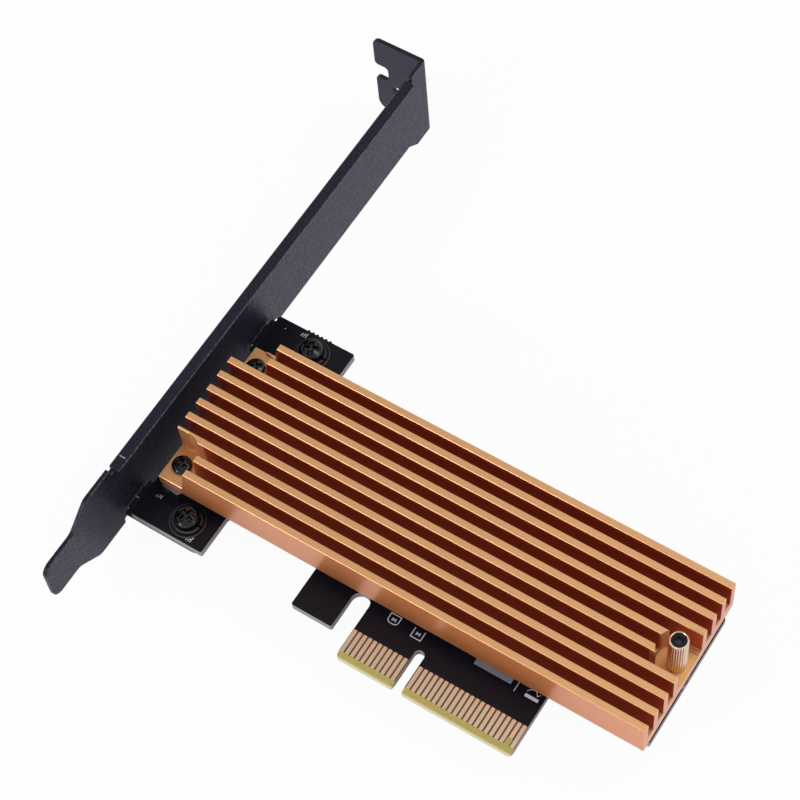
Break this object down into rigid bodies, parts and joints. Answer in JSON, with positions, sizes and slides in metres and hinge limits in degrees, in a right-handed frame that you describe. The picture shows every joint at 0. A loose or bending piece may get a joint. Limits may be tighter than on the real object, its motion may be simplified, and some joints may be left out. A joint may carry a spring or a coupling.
{
  "type": "drive adapter card",
  "caption": "Low-profile-board adapter card that carries one stick drive on a slot contact edge, with a gold finned heatsink and a full-height black slot bracket.",
  "frame": {"origin": "middle of the contact edge's key notch, on the contact edge's lowest line and on the board's component face", "axes": "+X along the board from the slot bracket to the free end, +Y from the contact edge to the bracket's ear, +Z out of the component side"},
  "size_m": [0.111, 0.12, 0.023],
  "materials": {
    "board": "black solder mask over glass-fibre laminate, satin",
    "pad_gold": "gold flash over nickel",
    "bracket_coat": "black powder coat, fine texture",
    "dark_steel": "dark plated steel, satin",
    "black_steel": "black oxide steel",
    "gold_anodised": "gold anodised, milled and extruded",
    "plated_steel": "bright nickel plate",
    "nut_gold": "pale gold anodised, ribbed",
    "socket_plastic": "black moulded plastic",
    "tinned_copper": "tin plate",
    "capacitor_ceramic": "tan ceramic"
  },
  "bodies": {
    "root": {"circuit_board": "board", "contact_pads_component_side": "pad_gold", "contact_pads_solder_side": "pad_gold", "slot_bracket": "bracket_coat", "bracket_washer_low": "dark_steel", "bracket_washer_high": "dark_steel", "bracket_lock_washer_low": "dark_steel", "bracket_lock_washer_high": "dark_steel", "bracket_screw_low": "black_steel", "bracket_screw_high": "black_steel", "heatsink": "gold_anodised", "heatsink_screw_near": "black_steel", "heatsink_screw_far": "black_steel", "standoff_near": "plated_steel", "standoff_far": "plated_steel", "thumb_nut": "nut_gold", "clamp_screw": "black_steel", "drive_end_spacer": "plated_steel", "drive_socket": "socket_plastic", "drive_socket_pins_rear": "tinned_copper", "drive_socket_pins_front": "tinned_copper", "drive_socket_anchors": "tinned_copper", "supply_capacitors": "capacitor_ceramic", "supply_capacitor_ends": "tinned_copper"}
  },
  "joints": []
}
